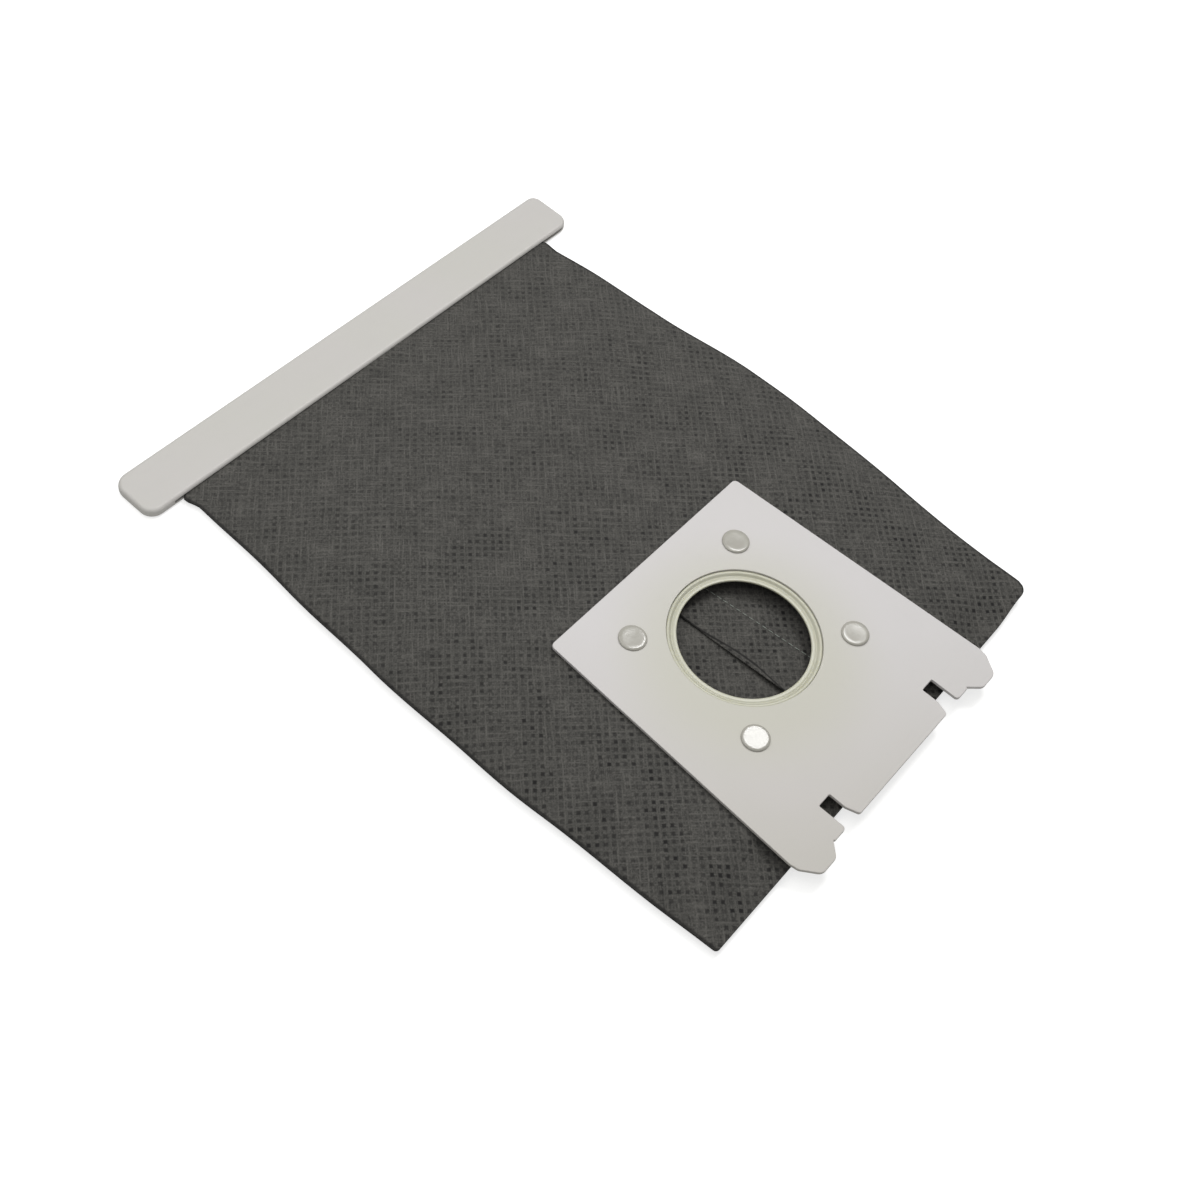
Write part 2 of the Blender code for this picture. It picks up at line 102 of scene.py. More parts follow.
# Bag
CLOTH = 0.0005
PLY_STEP = CLOTH + 0.00005
WALL_SHARE = 0.9
BAG_END_HALF_WIDTH = 0.1025
BAG_SIDE_BOW = 0.0046
BAG_WIDEST = BAG_END_HALF_WIDTH + BAG_SIDE_BOW
BAG_FRONT = 0.0676
BAG_FLAT_HALF_WIDTH = 0.0600
BAG_FOLD_HEIGHT = 0.0032
BAG_CROWN_RISE = 0.0004
BAG_FULLNESS = 0.8
PLY_TOP = COLLAR_BOTTOM - GAP
END_SEAM_WIDTH = 0.0060
FRONT_SLOPE_LENGTH = 0.0150
NECK_SLOPE_LENGTH = 0.0700
UNDERSIDE_CURL = 0.0140
UNDERSIDE_NECK_CURL = 0.0280
NECK_START = CLIP_NEAR - 0.0030
# Ripples of the upper ply: height, length and seed
RIPPLES = ((0.0011, 0.055, 3.0), (0.0005, 0.022, 8.0))
RIPPLE_CLEAR, RIPPLE_GROWTH = 0.002, 0.020
UPPER_PLY_ABOVE = 0.0055

# Hem that is turned over inside the rail
BEAD_START = CLIP_NEAR + 0.0029
BEAD_LENGTH = 0.0120
HEM_MIDDLE = CLIP_MIDDLE - RAIL_SLOT / 2 + PLY_STEP
HEM_TURN = CLOTH * 1.05
HEM_DIP_LENGTH = 0.003
RAIL_SQUEEZE_LENGTH = 0.0025

# Side folds: each bulge has the place and the length of its slopes along the bag
SIDE_RIPPLE, SIDE_RIPPLE_LENGTH, SIDE_RIPPLE_SEED = 0.0013, 0.045, 5.0
RIGHT_SPREAD = 0.0010
RIGHT_BULGE = 0.0039
RIGHT_BULGE_RISE, RIGHT_BULGE_FALL = (-0.050, 0.120), (0.082, 0.046)
LEFT_BULGE = 0.0007
LEFT_BULGE_MIDDLE, LEFT_BULGE_REACH = 0.068, 0.045
SPREAD_FADE = 0.030
RIGHT_FLARE, LEFT_FLARE = 0.0010, 0.0018
FLARE_BEFORE, FLARE_LENGTH = 0.005, 0.006
# The bow and the bulge fade along the bag, so its mean width has only a share of each
MEAN_BOW_SHARE, MEAN_BULGE_SHARE = 0.6, 0.45

# Sewn end: its slant, its shift, and the pull and the lift of its right corner
FRONT_SLANT, FRONT_SHIFT, FRONT_FADE = 0.0062, -0.0007, 0.034
CORNER_PULL, CORNER_PULL_START, CORNER_PULL_LENGTH = 0.0012, 0.078, 0.020
CORNER_LIFT, CORNER_LIFT_REACH = 0.0018, 0.040
RIGHT_CORNER, LEFT_CORNER = 0.0050, 0.0016

# Lapped seam down the back: its free edge lies inside the bag
LAP_EDGE = -0.0050
LAP_SLANT, LAP_SLANT_REACH = -0.035, 0.060
LAP_OUTER = 0.0160
LAP_RISE = 0.003
LAP_UNDER_SHARE = 0.4
LAP_CURL_LENGTH, LAP_CURL_END = 0.0030, 0.1
LAP_CURL, LAP_CURL_GROWTH = 0.0004, 0.0014
LAP_CURL_TOP, LAP_CURL_SLOPE = 0.015, 0.040
LAP_CREASE_GAP = 0.0026
LAP_CREASE_START, LAP_CREASE_OPENING = -0.026, 0.018
LAP_CREASE_END, LAP_CREASE_CLOSING = 0.020, 0.024
STITCH_PITCH, STITCH_SHARE = 0.0030, 0.86
THREAD_RADIUS = 0.00015
THREAD_RISE = 0.00012
SEAM_START, SEAM_END = -0.058, 0.168
SEAM_X, SEAM_SLANT, SEAM_SLANT_END = 0.0138, -0.10, 0.030

# Mesh of the sheet
SHEET_PITCH = 0.0024
FOLD_STEPS = 6
FRONT_ROUND_STEPS = 4
FRONT_ROWS = (0.0009, 0.0015, 0.0023)
RAIL_MOUTH_STEPS = 3
HEM_STEPS = 20
HOLE_CLEARING, HOLE_SEARCH = 0.0004, 0.004

# Camera, solved from the photograph against the CAD model
LENS = 45.393
CAMERA_PLACE = (-0.30264, -0.10660, 0.48409)
CAMERA_RIGHT = (0.65077, -0.74776, 0.13171)
CAMERA_DOWN = (-0.58642, -0.60519, -0.53838)

# Light: each lamp has its place, the point that it faces, its size and its power
LAMPS = {
    "window": ((0.460, INLET_Y + 0.11, 0.927), (0.0, INLET_Y, 0.0), (0.26, 0.30), 3.9),
    "ceiling": ((-0.12, 0.16, 0.60), (-0.06, 0.0, 0.0), (0.60, 0.60), 1.78),
}
ROOM_LIGHT = 0.29
TABLE_GLOW = 0.68
TABLE_SIZE, TABLE_DROP = 6.0, 0.0003


def colour(code):
    """An sRGB hex colour as linear values."""
    parts = [int(code[k : k + 2], 16) / 255 for k in (1, 3, 5)]
    return (*(p / 12.92 if p <= 0.04045 else ((p + 0.055) / 1.055) ** 2.4 for p in parts), 1.0)


def add_node(tree, kind, inputs=None, **settings):
    """Adds a node with its settings, and sets or links its inputs."""
    node = tree.nodes.new(kind)
    for name, value in settings.items():
        setattr(node, name, value)
    for name, value in (inputs or {}).items():
        if isinstance(value, bpy.types.NodeSocket):
            tree.links.new(value, node.inputs[name])
        else:
            node.inputs[name].default_value = value
    return node


def coordinates(tree, kind="Object"):
    return add_node(tree, "ShaderNodeTexCoord").outputs[kind]


def clouds(tree, place, scale, detail, roughness=0.5, output="Fac"):
    """Smooth noise with features of about 1 / scale metres."""
    inputs = {"Vector": place, "Scale": scale, "Detail": detail, "Roughness": roughness}
    return add_node(tree, "ShaderNodeTexNoise", inputs).outputs[output]


def ranged(tree, value, start, end, low=0.0, high=1.0, kind="LINEAR"):
    """Carries values from start to end over to low to high, and holds them there."""
    inputs = {"Value": value, "From Min": start, "From Max": end, "To Min": low, "To Max": high}
    return add_node(
        tree, "ShaderNodeMapRange", inputs, interpolation_type=kind
    ).outputs["Result"]


def maths(tree, operation, *values):
    node = add_node(tree, "ShaderNodeMath", dict(enumerate(values)), operation=operation)
    return node.outputs["Value"]


def vectors(tree, operation, *values, output="Vector"):
    node = add_node(tree, "ShaderNodeVectorMath", dict(enumerate(values)), operation=operation)
    return node.outputs[output]


def mixed(tree, factor, first, second):
    """A colour between two, where a factor of 1 gives the second."""
    inputs = {"Factor": factor, "A": first, "B": second}
    return add_node(tree, "ShaderNodeMix", inputs, data_type="RGBA").outputs["Result"]


def relief(tree, height, depth, strength=1.0, below=None, invert=False):
    """Surface normals of a relief that is depth metres deep, on top of another."""
    inputs = {"Height": height, "Distance": depth, "Strength": strength}
    if below is not None:
        inputs["Normal"] = below
    return add_node(tree, "ShaderNodeBump", inputs, invert=invert).outputs["Normal"]


def new_material(name, **values):
    """A Principled material and the tree and shader in it."""
    material = bpy.data.materials.new(name)
    material.use_nodes = True
    shader = material.node_tree.nodes["Principled BSDF"]
    for key, value in values.items():
        shader.inputs[key.replace("_", " ")].default_value = value
    return material, material.node_tree, shader


def scene_object(name, bm):
    """Turns a bmesh into an object of the scene."""
    mesh = bpy.data.meshes.new(name)
    bm.to_mesh(mesh)
    bm.free()
    item = bpy.data.objects.new(name, mesh)
    bpy.context.scene.collection.objects.link(item)
    return item


def finish_piece(name, bm, materials, body, node, smooth_below=40):
    """Turns a bmesh into a piece that stands for a CAD node and moves with its body."""
    bmesh.ops.recalc_face_normals(bm, faces=bm.faces[:])
    piece = scene_object(name, bm)
    for material in materials:
        piece.data.materials.append(material)
    piece.data.shade_smooth()
    piece.data.set_sharp_from_angle(angle=math.radians(smooth_below))
    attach(piece, body)
    if node:
        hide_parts(node)
    return piece


def flatten_shading(piece):
    """Keeps big flat faces flat beside rounded edges."""
    weighted = piece.modifiers.new("face_weighted_normals", "WEIGHTED_NORMAL")
    weighted.keep_sharp = True


def bevel(bm, geom, offset, segments, affect):
    bmesh.ops.bevel(
        bm,
        geom=geom,
        offset=offset,
        offset_type="OFFSET",
        segments=segments,
        profile=0.5,
        affect=affect,
        material=-1,
        clamp_overlap=False,
    )


def rounded_outline(bm, corners, steps):
    """Draws a closed outline through corners (x, y, radius) and rounds each of them."""
    verts = [bm.verts.new((x, y, 0.0)) for x, y, _ in corners]
    bm.faces.new(verts)
    for k, (x, y, radius) in enumerate(corners):
        if radius <= 0:
            continue
        here = Vector((x, y))
        before = Vector(corners[k - 1][:2]) - here
        after = Vector(corners[(k + 1) % len(corners)][:2]) - here
        bevel(bm, [verts[k]], radius / math.tan(before.angle(after) / 2), steps, "VERTICES")
    bmesh.ops.delete(bm, geom=bm.faces[:], context="FACES_ONLY")


def hole_ring(bm, radius, centre, segments):
    bmesh.ops.create_circle(
        bm, segments=segments, radius=radius, matrix=Matrix.Translation((*centre, 0.0))
    )


def plate_from_outlines(bm, bottom, top):
    """Fills the outlines, holes left open, and gives the plate its thickness."""
    bmesh.ops.triangle_fill(bm, use_beauty=True, edges=bm.edges[:], normal=(0, 0, 1))
    lifted = bmesh.ops.extrude_face_region(bm, geom=bm.faces[:])
    raised = [item for item in lifted["geom"] if isinstance(item, bmesh.types.BMVert)]
    bmesh.ops.translate(bm, verts=raised, vec=(0.0, 0.0, top - bottom))
    bmesh.ops.translate(bm, verts=bm.verts[:], vec=(0.0, 0.0, bottom))
    bmesh.ops.recalc_face_normals(bm, faces=bm.faces[:])


def round_edges(bm, width, steps):
    """Rounds every edge between faces that meet at more than 60 degrees."""
    limit = math.radians(60)
    sharp = [e for e in bm.edges if e.is_manifold and e.calc_face_angle() > limit]
    bevel(bm, sharp, width, steps, "EDGES")


def turn_profile(bm, profile, centre, steps):
    """Spins a line of (radius, height) points about an upright axis."""
    verts = [bm.verts.new((radius, 0.0, height)) for radius, height in profile]
    edges = [bm.edges.new(pair) for pair in zip(verts, verts[1:])]
    if profile[0][0] > 0:
        edges.append(bm.edges.new((verts[-1], verts[0])))
    before = set(bm.verts) - set(verts)
    bmesh.ops.spin(
        bm,
        geom=verts + edges,
        cent=(0.0, 0.0, 0.0),
        axis=(0.0, 0.0, 1.0),
        dvec=(0.0, 0.0, 0.0),
        angle=math.tau,
        steps=steps,
        use_merge=True,
    )
    made = [vert for vert in bm.verts if vert not in before]
    bmesh.ops.remove_doubles(bm, verts=made, dist=0.000002)
    made = [vert for vert in bm.verts if vert not in before]
    bmesh.ops.translate(bm, verts=made, vec=(*centre, 0.0))


def stud_centres():
    return [(sx * STUD_X, INLET_Y + sy * STUD_Y) for sx in (-1, 1) for sy in (-1, 1)]


def moulded_plastic(name, base, warm, roughness, grain, painted_light_and_yellowing=False):
    """Polypropylene from a satin mould: a soft, even sheen, the faint grain of the
    spark-eroded mould, and slow shifts of tone where the melt has flowed."""
    material, tree, shader = new_material(name, Roughness=roughness, IOR=1.49)
    place = coordinates(tree)
    # Flow marks some 45 mm across
    flow = clouds(tree, place, 22.0, 2.0)
    surface = mixed(tree, ranged(tree, flow, 0.36, 0.64), colour(base), colour(warm))
    if painted_light_and_yellowing:
        # Painted light: the collar is painted paler towards its rear right, where more light
        # falls, and stays yellower towards its front left corner
        along = vectors(tree, "DOT_PRODUCT", place, (0.5, 0.5, 0.0), output="Value")
        middle = INLET_Y / 2
        painted_rear_light = ranged(tree, along, middle - 0.062, middle + 0.002, 0.0, 0.8)
        surface = mixed(tree, painted_rear_light, surface, colour("#DBD8D8"))
        # Plasticiser from the soft ring has yellowed the collar round it
        centre = (-0.005, INLET_Y - 0.005, COLLAR_TOP)
        away = vectors(tree, "DISTANCE", place, centre, output="Value")
        halo = ranged(tree, away, 0.028, 0.060, 0.6, 0.0, "SMOOTHSTEP")
        surface = mixed(tree, halo, surface, colour("#C9C8B6"))
    tree.links.new(surface, shader.inputs["Base Color"])
    # Fine mould grain on slow waves some 30 mm long
    fine = clouds(tree, place, 1 / grain, 3.0)
    swell = relief(tree, clouds(tree, place, 30.0, 1.0), 0.0004)
    tree.links.new(relief(tree, fine, 0.000012, below=swell), shader.inputs["Normal"])
    return material


def soft_rubber(name):
    """Soft thermoplastic rubber: milky and slightly yellow, with light passing a little
    way into it, and a satin skin."""
    material, tree, shader = new_material(
        name,
        Roughness=0.34,
        IOR=1.50,
        Subsurface_Weight=0.25,
        Subsurface_Scale=0.0012,
        Subsurface_Radius=(1.0, 0.95, 0.7),
    )
    place = coordinates(tree)
    cloudy = clouds(tree, place, 60.0, 3.0)
    tone = mixed(tree, cloudy, colour("#BDBCA5"), colour("#CCCBBB"))
    tree.links.new(tone, shader.inputs["Base Color"])
    skin = clouds(tree, place, 1500.0, 2.0)
    tree.links.new(relief(tree, skin, 0.00002), shader.inputs["Normal"])
    return material


def melted_plastic(name):
    """Polypropylene melted by a hot staking tool: the same pale resin, but glossy,
    with fine tool marks."""
    material, tree, shader = new_material(name, Roughness=0.16, IOR=1.49)
    marks = clouds(tree, coordinates(tree), 420.0, 2.0)
    tone = mixed(tree, marks, colour("#A7A49A"), colour("#B9B7AE"))
    tree.links.new(tone, shader.inputs["Base Color"])
    tree.links.new(relief(tree, marks, 0.000012), shader.inputs["Normal"])
    return material


def bond_points(tree, sheet, lattice, cloudy):
    """How hard the cloth is pressed at each place: 1 in a bond point, 0 between them."""
    cell = vectors(tree, "FRACTION", lattice)
    centred = vectors(tree, "SUBTRACT", cell, (0.5, 0.5, 0.5))
    folded = vectors(tree, "ABSOLUTE", centred)
    axes = add_node(tree, "ShaderNodeSeparateXYZ", {"Vector": folded}).outputs
    square = maths(tree, "MAXIMUM", axes["X"], axes["Y"])
    # Each bond point is 1.5 mm across, with soft edges
    pit = ranged(tree, square, 0.14, 0.34, 1.0, 0.0, "SMOOTHSTEP")
    number = vectors(tree, "FLOOR", lattice)
    chance = add_node(
        tree, "ShaderNodeTexWhiteNoise", {"Vector": number}, noise_dimensions="2D"
    ).outputs["Value"]
    # The bonds are fainter and stronger in patches
    patch = ranged(tree, cloudy, 0.35, 0.62, 0.35, 1.0)
    depth = maths(tree, "MULTIPLY", ranged(tree, chance, 0.0, 1.0, 0.3, 1.0), patch)
    # They are deeper towards the sewn end, where the bag has been handled least
    down = add_node(tree, "ShaderNodeSeparateXYZ", {"Vector": sheet}).outputs["Y"]
    crispness = ranged(tree, down, -BAG_FRONT, CLIP_NEAR, 1.25, 0.65)
    return maths(tree, "MULTIPLY", pit, maths(tree, "MULTIPLY", depth, crispness))


def fibre_strands(tree, lattice, fibres):
    """Loose fibres, from 0 to 1, gathered into bundles 0.7 mm wide and 10 mm long that
    run both ways along the lattice."""
    bundles = [
        clouds(tree, vectors(tree, "MULTIPLY", lattice, stretch), 1.0, 1.0)
        for stretch in ((4.2, 0.3, 1.0), (0.3, 4.2, 1.0))
    ]
    bundled = ranged(tree, maths(tree, "MAXIMUM", *bundles), 0.42, 0.72)
    strands = maths(tree, "ADD", bundled, ranged(tree, fibres, 0.3, 0.7))
    return ranged(tree, strands, 0.0, 2.0)


def painted_fold_shade(tree):
    """Painted shade: dark lines along the side folds and along a crease beside the lap's free
    edge, where shade falls.
    """
    fold = add_node(tree, "ShaderNodeAttribute", attribute_name="side_fold").outputs["Fac"]
    lap = add_node(tree, "ShaderNodeAttribute", attribute_name="lap_crease").outputs["Fac"]
    lines = [
        ranged(tree, distance, 0.0002, reach, darkness, 0.0, "SMOOTHSTEP")
        for distance, reach, darkness in (
            (fold, 0.0011, 0.75),
            (maths(tree, "ABSOLUTE", lap), 0.0008, 0.85),
        )
    ]
    return maths(tree, "MAXIMUM", *lines)


def spunbonded_cloth(name):
    """Spunbonded polypropylene: fine matt fibres, pressed together at a square lattice
    of bond points that stands on its corner against the bag's edges."""
    material, tree, shader = new_material(
        name, Roughness=0.86, IOR=1.45, Sheen_Weight=0.12, Sheen_Roughness=0.5
    )
    sheet = coordinates(tree, "UV")
    # The bond points' edges stray by up to 0.3 mm, as loose fibres leave them
    drift = clouds(tree, sheet, 260.0, 2.0, output="Color")
    jitter = vectors(tree, "SUBTRACT", drift, (0.5, 0.5, 0.5))
    nudged = vectors(tree, "MULTIPLY_ADD", jitter, (0.0007, 0.0007, 0.0), sheet)
    # Bond points 2.95 mm apart, turned 45 degrees
    pitch = 1 / 0.00295
    lattice = add_node(
        tree,
        "ShaderNodeMapping",
        {"Vector": nudged, "Rotation": (0.0, 0.0, math.radians(45)), "Scale": (pitch,) * 3},
    ).outputs["Vector"]
    # Patches some 15 mm across
    cloudy = clouds(tree, sheet, 65.0, 2.0)
    pressed = bond_points(tree, sheet, lattice, cloudy)
    # Fibre mat, drawn 0.8 mm coarse, because real fibres of 0.02 mm would not show
    fibres = clouds(tree, sheet, 1300.0, 3.0, 0.6)
    strands = fibre_strands(tree, lattice, fibres)
    mat = mixed(tree, strands, colour("#2A2927"), colour("#696762"))
    patchy = ranged(tree, cloudy, 0.3, 0.7, 0.0, 0.3)
    surface = mixed(tree, patchy, mat, colour("#393935"))
    # The bond points are darker; the lines along the side folds and the lap's crease are painted
    # shade
    for bonds_and_fold_shade in (pressed, painted_fold_shade(tree)):
        surface = mixed(tree, bonds_and_fold_shade, surface, colour("#121110"))
    tree.links.new(surface, shader.inputs["Base Color"])
    # Bond points are pressed 0.12 mm into the cloth
    fuzz = relief(tree, fibres, 0.00016, 0.8)
    dents = relief(tree, pressed, 0.00012, below=fuzz, invert=True)
    tree.links.new(dents, shader.inputs["Normal"])
    return material


def polyester_thread(name):
    """Twisted polyester sewing thread, pale grey-green, with a slight gleam."""
    material, tree, shader = new_material(name, Roughness=0.55, IOR=1.54)
    twist = clouds(tree, coordinates(tree), 2500.0, 1.0)
    tone = mixed(tree, twist, colour("#7C837B"), colour("#A5ABA3"))
    tree.links.new(tone, shader.inputs["Base Color"])
    return material


def make_collar():
    bm = bmesh.new()
    whole = COLLAR_HALF + [(-x, y, radius) for x, y, radius in reversed(COLLAR_HALF)]
    rounded_outline(bm, [(x, y + INLET_Y, radius) for x, y, radius in whole], 8)
    hole_ring(bm, OPENING_RADIUS, (0.0, INLET_Y), ROUND_STEPS)
    for centre in stud_centres():
        hole_ring(bm, STUD_RADIUS + GAP, centre, SMALL_HOLE_STEPS)
    plate_from_outlines(bm, COLLAR_BOTTOM, COLLAR_TOP)
    round_edges(bm, COLLAR_EDGE_ROUND, 3)
    satin = moulded_plastic("satin_polypropylene", "#CCC8C2", "#C9C6BE", 0.55, 0.0004, True)
    collar = finish_piece("collar", bm, [satin], "bag", "collar_plate")
    flatten_shading(collar)


def make_seal():
    """Sealing ring below the collar's opening: a bright inner lip, a groove, an outer
    band, and the flange that the collar holds down."""
    bottom, top = SEAL_LOW[2], SEAL_HIGH[2]
    flange = bottom + CLOTH
    lip = flange + 0.0004
    profile = [
        (INLET_RADIUS, bottom + 0.0001),
        (INLET_RADIUS, lip - 0.0003),
        (INLET_RADIUS + 0.00006, lip - 0.00015),
        (INLET_RADIUS + 0.0002, lip - 0.00004),
        (INLET_RADIUS + 0.00045, lip),
        (INLET_RADIUS + 0.0012, lip),
        (INLET_RADIUS + 0.0016, lip - 0.00006),
        (INLET_RADIUS + 0.0019, lip - 0.00020),
        (INLET_RADIUS + 0.0022, lip - 0.00018),
        (INLET_RADIUS + 0.0025, top - 0.00055),
        (INLET_RADIUS + 0.0028, top - 0.00020),
        (INLET_RADIUS + 0.0031, top - 0.00004),
        (INLET_RADIUS + 0.0034, top),
        (INLET_RADIUS + 0.0037, top - 0.00004),
        (OPENING_RADIUS - 0.0002, top - 0.00014),
        (OPENING_RADIUS - 0.0001, flange),
        (SEAL_RADIUS, flange),
        (SEAL_RADIUS, bottom),
        (INLET_RADIUS + 0.0001, bottom),
    ]
    bm = bmesh.new()
    turn_profile(bm, profile, (0.0, INLET_Y), RING_STEPS)
    rubber = soft_rubber("milky_soft_rubber")
    finish_piece("seal_ring", bm, [rubber], "bag", "inlet_seal", 60)


def make_backing():
    """The plate inside the bag, with its four studs and their melted, dished heads."""
    bottom, top = BACKING_LOW[2], BACKING_HIGH[2]
    x, y = BACKING_WIDTH / 2, BACKING_LENGTH / 2
    signs = ((1, -1), (1, 1), (-1, 1), (-1, -1))
    bm = bmesh.new()
    rounded_outline(bm, [(sx * x, INLET_Y + sy * y, BACKING_CORNER) for sx, sy in signs], 10)
    hole_ring(bm, BACKING_HOLE, (0.0, INLET_Y), ROUND_STEPS)
    plate_from_outlines(bm, bottom, bottom + BACKING_THICKNESS)
    round_edges(bm, BACKING_EDGE_ROUND, 2)
    plate_faces = set(bm.faces)
    head_bottom = COLLAR_TOP + 0.0002
    root = bottom + BACKING_THICKNESS / 2
    dish = [
        (DISH_RADIUS * k, top - DISH_DEPTH * (1 - k * k)) for k in (0.0, 0.3, 0.55, 0.8, 1.0)
    ]
    profile = [
        *dish,
        (0.0042, top),
        (0.0047, top - 0.00001),
        (0.0050, top - 0.00006),
        (0.0053, top - 0.00020),
        (HEAD_RADIUS, top - 0.00042),
        (HEAD_RADIUS, head_bottom),
        (STUD_RADIUS, head_bottom),
        (STUD_RADIUS, root),
        (0.0, root),
    ]
    for centre in stud_centres():
        turn_profile(bm, profile, centre, HEAD_STEPS)
    for face in bm.faces:
        if face not in plate_faces:
            face.material_index = 1
    plate = moulded_plastic("backing_polypropylene", "#CDCAC7", "#CBC9C1", 0.42, 0.0004)
    heads = melted_plastic("melted_polypropylene")
    backing = finish_piece(
        "backing_with_studs", bm, [plate, heads], "bag", "backing_plate"
    )
    flatten_shading(backing)


def clamped(value):
    return min(max(value, 0.0), 1.0)


def eased(value):
    """0 below 0, 1 above 1, and a smooth step between."""
    value = clamped(value)
    return value * value * (3 - 2 * value)


def ramp(value, start, length):
    """0 up to start, then a smooth step to 1 over a length."""
    return eased((value - start) / length)


def half_width(y):
    """Half width of the bag, which bows out between its sewn end and its neck."""
    share = (y + BAG_FRONT) / (NECK_START + BAG_FRONT)
    return BAG_END_HALF_WIDTH + BAG_SIDE_BOW * math.sin(math.pi * clamped(share))


def front_opening(y):
    return ramp(y, END_SEAM_WIDTH - BAG_FRONT, FRONT_SLOPE_LENGTH)


def neck_opening(y):
    return eased((NECK_START - y) / NECK_SLOPE_LENGTH)


def fold_height(y):
    return HEM_MIDDLE + (BAG_FOLD_HEIGHT - HEM_MIDDLE) * neck_opening(y)


def wave(x, y, size, seed):
    return noise.noise(Vector((x / size, y / size, seed)))


def outside_collar(x, y):
    """0 under the collar and close to it, 1 from 22 mm away."""
    return ramp(max(abs(x) - COLLAR_SIDE, y - COLLAR_REAR), RIPPLE_CLEAR, RIPPLE_GROWTH)


def upper_ply(across, y):
    """Outer height of the upper ply: across is -1 to 1 from fold to fold."""
    half = half_width(y)
    x = across * half
    edge = fold_height(y) + CLOTH
    crown = PLY_TOP + BAG_CROWN_RISE * ramp(y, COLLAR_REAR, NECK_SLOPE_LENGTH)
    outside = (abs(x) - BAG_FLAT_HALF_WIDTH) / (half - BAG_FLAT_HALF_WIDTH)
    swell = (1 - clamped(outside) ** 2) ** BAG_FULLNESS
    lift = swell * front_opening(y) * neck_opening(y)
    ripple = sum(height * wave(x, y, size, seed) for height, size, seed in RIPPLES)
    return edge + (crown - edge) * lift + ripple * outside_collar(x, y) * min(1.0, 2 * lift)


def lower_ply(across, y):
    """Outer height of the lower ply: flat on the table, curling up to the folds."""
    half = half_width(y)
    edge = fold_height(y) - CLOTH
    side = 1 - half * (1 - abs(across)) / UNDERSIDE_CURL
    front = 1 - (y + BAG_FRONT - END_SEAM_WIDTH) / UNDERSIDE_CURL
    rear = 1 - (NECK_START - y) / UNDERSIDE_NECK_CURL
    return edge * clamped(max(side, front, rear)) ** 2


def lap_step(x, y, kept):
    """How far the lap lifts what lies on it: one cloth, except in the rail, where it
    is squeezed into the others but for a kept share."""
    squeezed = ramp(y, CLIP_NEAR, RAIL_SQUEEZE_LENGTH) * (1 - kept)
    return PLY_STEP * (1 - ramp(x, LAP_OUTER, LAP_RISE)) * (1 - squeezed)


def lap_edge(y):
    """Where the lap's free edge lies inside the bag: it runs a little aslant."""
    return LAP_EDGE + LAP_SLANT * min(max(y, -LAP_SLANT_REACH), LAP_SLANT_REACH)


def corner_cut(side, y):
    """How much narrower the bag is at its rounded front corners."""
    radius = RIGHT_CORNER if side > 0 else LEFT_CORNER
    away = clamped(1 - (y + BAG_FRONT) / radius)
    return radius * (1 - math.sqrt(1 - away * away))


def side_edge(side, y):
    """Distance from the middle to the inside of a side fold. The right side lies more
    spread than the left, and both flare a little where the rail squeezes the cloth."""
    ripple = SIDE_RIPPLE * wave(0.0, y, SIDE_RIPPLE_LENGTH, SIDE_RIPPLE_SEED * side)
    if side > 0:
        bulge = ramp(y, *RIGHT_BULGE_RISE) * (1 - ramp(y, *RIGHT_BULGE_FALL))
        spread = RIGHT_SPREAD + RIGHT_BULGE * bulge
    else:
        spread = LEFT_BULGE * (1 - eased(abs(y - LEFT_BULGE_MIDDLE) / LEFT_BULGE_REACH))
    spread *= 1 - ramp(y, NECK_START - SPREAD_FADE, SPREAD_FADE)
    flare = ramp(y, NECK_START - FLARE_BEFORE, FLARE_LENGTH) * (y < CLIP_NEAR)
    spread += (RIGHT_FLARE if side > 0 else LEFT_FLARE) * flare
    return half_width(y) - CLOTH - corner_cut(side, y) + ripple + spread


def front_skew(x, y):
    """The sewn end lies a little askew, and its right corner is drawn back."""
    pull = CORNER_PULL * ramp(x, CORNER_PULL_START, CORNER_PULL_LENGTH)
    return (FRONT_SLANT * x + FRONT_SHIFT + pull) * (1 - ramp(y, -BAG_FRONT, FRONT_FADE))


def corner_lift(x, y):
    """The free corner at the right of the collar stands up a little."""
    away = math.hypot(x - BAG_END_HALF_WIDTH, y + BAG_FRONT)
    return CORNER_LIFT * (1 - eased(away / CORNER_LIFT_REACH))


def sheet_columns():
    """The sheet's columns across, as (part, share along that part), from the lap's
    free edge inside the bag, round both folds, to the lap's edge on the back."""
    under_right = round((BAG_WIDEST - LAP_EDGE) / SHEET_PITCH)
    over = round(2 * BAG_WIDEST / SHEET_PITCH)
    under_left = round((BAG_WIDEST + LAP_OUTER) / SHEET_PITCH)
    columns = [("under_right", k / under_right) for k in range(under_right)]
    columns += [("right_fold", k / FOLD_STEPS) for k in range(FOLD_STEPS)]
    columns += [("over", k / over) for k in range(over)]
    columns += [("left_fold", k / FOLD_STEPS) for k in range(FOLD_STEPS)]
    columns += [("under_left", k / under_left) for k in range(under_left + 1)]
    return columns


